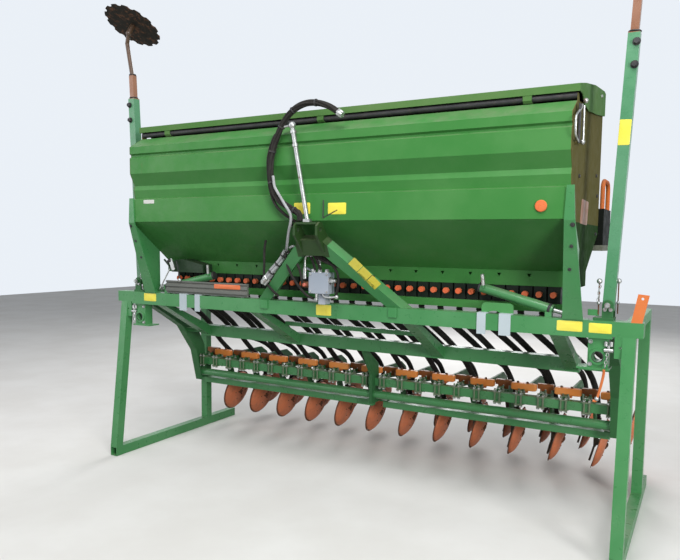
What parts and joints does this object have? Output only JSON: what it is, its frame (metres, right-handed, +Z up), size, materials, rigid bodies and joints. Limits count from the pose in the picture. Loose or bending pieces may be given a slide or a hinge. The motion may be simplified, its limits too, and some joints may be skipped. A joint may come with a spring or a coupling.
{
  "type": "mounted seed drill",
  "caption": "Three-point mounted seed drill with a full-width hopper, two rows of single-disc coulters, folding row markers and parking stands.",
  "frame": {"origin": "on the floor, at the centre of the machine's bounding box seen from above", "axes": "-Y is the direction of travel, where the tractor couples; +X is on the right of someone who faces the machine from the tractor's side; +Z is up"},
  "size_m": [3.384, 1.7094, 2.9172],
  "materials": {
    "green_paint": "gloss paint",
    "dark_green_paint": "worn gloss paint",
    "orange_plastic": "moulded plastic",
    "orange_paint": "paint",
    "rusty_steel": "bare steel with surface rust",
    "zinc": "zinc plated",
    "black_rubber": "ribbed hose",
    "black_plastic": "moulded plastic",
    "grey_paint": "paint"
  },
  "bodies": {
    "drill_frame": {"main_beam": "green_paint", "stand_left": "green_paint", "stand_right": "green_paint", "headstock": "green_paint", "lower_beam": "green_paint", "side_arms": "dark_green_paint", "coulter_bar": "green_paint", "pressure_tube": "green_paint", "lower_bar": "green_paint", "bar_clamps": "zinc", "coulter_arms_front": "dark_green_paint", "coulter_arms_rear": "dark_green_paint", "coulter_heads": "orange_paint", "seed_tubes": "black_rubber", "hopper_front": "green_paint", "hopper_rear": "green_paint", "hopper_ends": "green_paint", "trough_front": "green_paint", "trough_rear": "green_paint", "hopper_uprights": "green_paint", "hinge_tube": "black_plastic", "metering_row": "black_plastic", "gearbox": "black_plastic", "platform": "grey_paint", "hose_post": "zinc", "hoses": "black_rubber", "valve_block": "grey_paint", "marker_cylinders": "green_paint", "marker_feet": "dark_green_paint", "deck_rail": "grey_paint", "lock_bar": "orange_paint"},
    "lid": {"lid": "green_paint"},
    "marker_left": {"marker_left": "green_paint"},
    "marker_right": {"marker_right": "green_paint"},
    "marker_disc_left": {"marker_disc_left": "rusty_steel"},
    "marker_disc_right": {"marker_disc_right": "rusty_steel"},
    "disc_front_01": {"disc_front_01": "orange_plastic"},
    "disc_front_02": {"disc_front_02": "orange_plastic"},
    "disc_front_03": {"disc_front_03": "orange_plastic"},
    "disc_front_04": {"disc_front_04": "orange_plastic"},
    "disc_front_05": {"disc_front_05": "orange_plastic"},
    "disc_front_06": {"disc_front_06": "orange_plastic"},
    "disc_front_07": {"disc_front_07": "orange_plastic"},
    "disc_front_08": {"disc_front_08": "orange_plastic"},
    "disc_front_09": {"disc_front_09": "orange_plastic"},
    "disc_front_10": {"disc_front_10": "orange_plastic"},
    "disc_front_11": {"disc_front_11": "orange_plastic"},
    "disc_front_12": {"disc_front_12": "orange_plastic"},
    "disc_rear_01": {"disc_rear_01": "orange_plastic"},
    "disc_rear_02": {"disc_rear_02": "orange_plastic"},
    "disc_rear_03": {"disc_rear_03": "orange_plastic"},
    "disc_rear_04": {"disc_rear_04": "orange_plastic"},
    "disc_rear_05": {"disc_rear_05": "orange_plastic"},
    "disc_rear_06": {"disc_rear_06": "orange_plastic"},
    "disc_rear_07": {"disc_rear_07": "orange_plastic"},
    "disc_rear_08": {"disc_rear_08": "orange_plastic"},
    "disc_rear_09": {"disc_rear_09": "orange_plastic"},
    "disc_rear_10": {"disc_rear_10": "orange_plastic"},
    "disc_rear_11": {"disc_rear_11": "orange_plastic"},
    "disc_rear_12": {"disc_rear_12": "orange_plastic"}
  },
  "joints": [
    {"name": "lid_hinge", "type": "hinge", "parent": "drill_frame", "child": "lid", "pos_m": [0, -0.69, 2.098], "axis": [1, 0, 0], "range_deg": [0, 65]},
    {"name": "marker_fold_left", "type": "hinge", "parent": "drill_frame", "child": "marker_left", "pos_m": [-1.471, -0.57, 1.17], "axis": [0, -1, 0], "range_deg": [0, 100]},
    {"name": "marker_fold_right", "type": "hinge", "parent": "drill_frame", "child": "marker_right", "pos_m": [1.471, -0.57, 1.17], "axis": [0, 1, 0], "range_deg": [0, 100]},
    {"name": "marker_disc_turn_left", "type": "hinge", "parent": "marker_left", "child": "marker_disc_left", "pos_m": [-1.50825, -0.588, 2.82802], "axis": [0.0993, 0.454, 0.8855], "continuous": true},
    {"name": "marker_disc_turn_right", "type": "hinge", "parent": "marker_right", "child": "marker_disc_right", "pos_m": [1.50825, -0.588, 2.82802], "axis": [-0.0993, 0.454, 0.8855], "continuous": true},
    {"name": "disc_front_01_turn", "type": "hinge", "parent": "drill_frame", "child": "disc_front_01", "pos_m": [-1.4135, 0.355, 0.257], "axis": [0.9646, 0.0506, -0.2588], "continuous": true},
    {"name": "disc_front_02_turn", "type": "hinge", "parent": "drill_frame", "child": "disc_front_02", "pos_m": [-1.1635, 0.355, 0.257], "axis": [0.9646, 0.0506, -0.2588], "continuous": true},
    {"name": "disc_front_03_turn", "type": "hinge", "parent": "drill_frame", "child": "disc_front_03", "pos_m": [-0.9135, 0.355, 0.257], "axis": [0.9646, 0.0506, -0.2588], "continuous": true},
    {"name": "disc_front_04_turn", "type": "hinge", "parent": "drill_frame", "child": "disc_front_04", "pos_m": [-0.6635, 0.355, 0.257], "axis": [0.9646, 0.0506, -0.2588], "continuous": true},
    {"name": "disc_front_05_turn", "type": "hinge", "parent": "drill_frame", "child": "disc_front_05", "pos_m": [-0.4135, 0.355, 0.257], "axis": [0.9646, 0.0506, -0.2588], "continuous": true},
    {"name": "disc_front_06_turn", "type": "hinge", "parent": "drill_frame", "child": "disc_front_06", "pos_m": [-0.1635, 0.355, 0.257], "axis": [0.9646, 0.0506, -0.2588], "continuous": true},
    {"name": "disc_front_07_turn", "type": "hinge", "parent": "drill_frame", "child": "disc_front_07", "pos_m": [0.0865, 0.355, 0.257], "axis": [0.9646, 0.0506, -0.2588], "continuous": true},
    {"name": "disc_front_08_turn", "type": "hinge", "parent": "drill_frame", "child": "disc_front_08", "pos_m": [0.3365, 0.355, 0.257], "axis": [0.9646, 0.0506, -0.2588], "continuous": true},
    {"name": "disc_front_09_turn", "type": "hinge", "parent": "drill_frame", "child": "disc_front_09", "pos_m": [0.5865, 0.355, 0.257], "axis": [0.9646, 0.0506, -0.2588], "continuous": true},
    {"name": "disc_front_10_turn", "type": "hinge", "parent": "drill_frame", "child": "disc_front_10", "pos_m": [0.8365, 0.355, 0.257], "axis": [0.9646, 0.0506, -0.2588], "continuous": true},
    {"name": "disc_front_11_turn", "type": "hinge", "parent": "drill_frame", "child": "disc_front_11", "pos_m": [1.0865, 0.355, 0.257], "axis": [0.9646, 0.0506, -0.2588], "continuous": true},
    {"name": "disc_front_12_turn", "type": "hinge", "parent": "drill_frame", "child": "disc_front_12", "pos_m": [1.3365, 0.355, 0.257], "axis": [0.9646, 0.0506, -0.2588], "continuous": true},
    {"name": "disc_rear_01_turn", "type": "hinge", "parent": "drill_frame", "child": "disc_rear_01", "pos_m": [-1.2885, 0.695, 0.257], "axis": [0.9646, 0.0506, -0.2588], "continuous": true},
    {"name": "disc_rear_02_turn", "type": "hinge", "parent": "drill_frame", "child": "disc_rear_02", "pos_m": [-1.0385, 0.695, 0.257], "axis": [0.9646, 0.0506, -0.2588], "continuous": true},
    {"name": "disc_rear_03_turn", "type": "hinge", "parent": "drill_frame", "child": "disc_rear_03", "pos_m": [-0.7885, 0.695, 0.257], "axis": [0.9646, 0.0506, -0.2588], "continuous": true},
    {"name": "disc_rear_04_turn", "type": "hinge", "parent": "drill_frame", "child": "disc_rear_04", "pos_m": [-0.5385, 0.695, 0.257], "axis": [0.9646, 0.0506, -0.2588], "continuous": true},
    {"name": "disc_rear_05_turn", "type": "hinge", "parent": "drill_frame", "child": "disc_rear_05", "pos_m": [-0.2885, 0.695, 0.257], "axis": [0.9646, 0.0506, -0.2588], "continuous": true},
    {"name": "disc_rear_06_turn", "type": "hinge", "parent": "drill_frame", "child": "disc_rear_06", "pos_m": [-0.0385, 0.695, 0.257], "axis": [0.9646, 0.0506, -0.2588], "continuous": true},
    {"name": "disc_rear_07_turn", "type": "hinge", "parent": "drill_frame", "child": "disc_rear_07", "pos_m": [0.2115, 0.695, 0.257], "axis": [0.9646, 0.0506, -0.2588], "continuous": true},
    {"name": "disc_rear_08_turn", "type": "hinge", "parent": "drill_frame", "child": "disc_rear_08", "pos_m": [0.4615, 0.695, 0.257], "axis": [0.9646, 0.0506, -0.2588], "continuous": true},
    {"name": "disc_rear_09_turn", "type": "hinge", "parent": "drill_frame", "child": "disc_rear_09", "pos_m": [0.7115, 0.695, 0.257], "axis": [0.9646, 0.0506, -0.2588], "continuous": true},
    {"name": "disc_rear_10_turn", "type": "hinge", "parent": "drill_frame", "child": "disc_rear_10", "pos_m": [0.9615, 0.695, 0.257], "axis": [0.9646, 0.0506, -0.2588], "continuous": true},
    {"name": "disc_rear_11_turn", "type": "hinge", "parent": "drill_frame", "child": "disc_rear_11", "pos_m": [1.2115, 0.695, 0.257], "axis": [0.9646, 0.0506, -0.2588], "continuous": true},
    {"name": "disc_rear_12_turn", "type": "hinge", "parent": "drill_frame", "child": "disc_rear_12", "pos_m": [1.4615, 0.695, 0.257], "axis": [0.9646, 0.0506, -0.2588], "continuous": true}
  ]
}
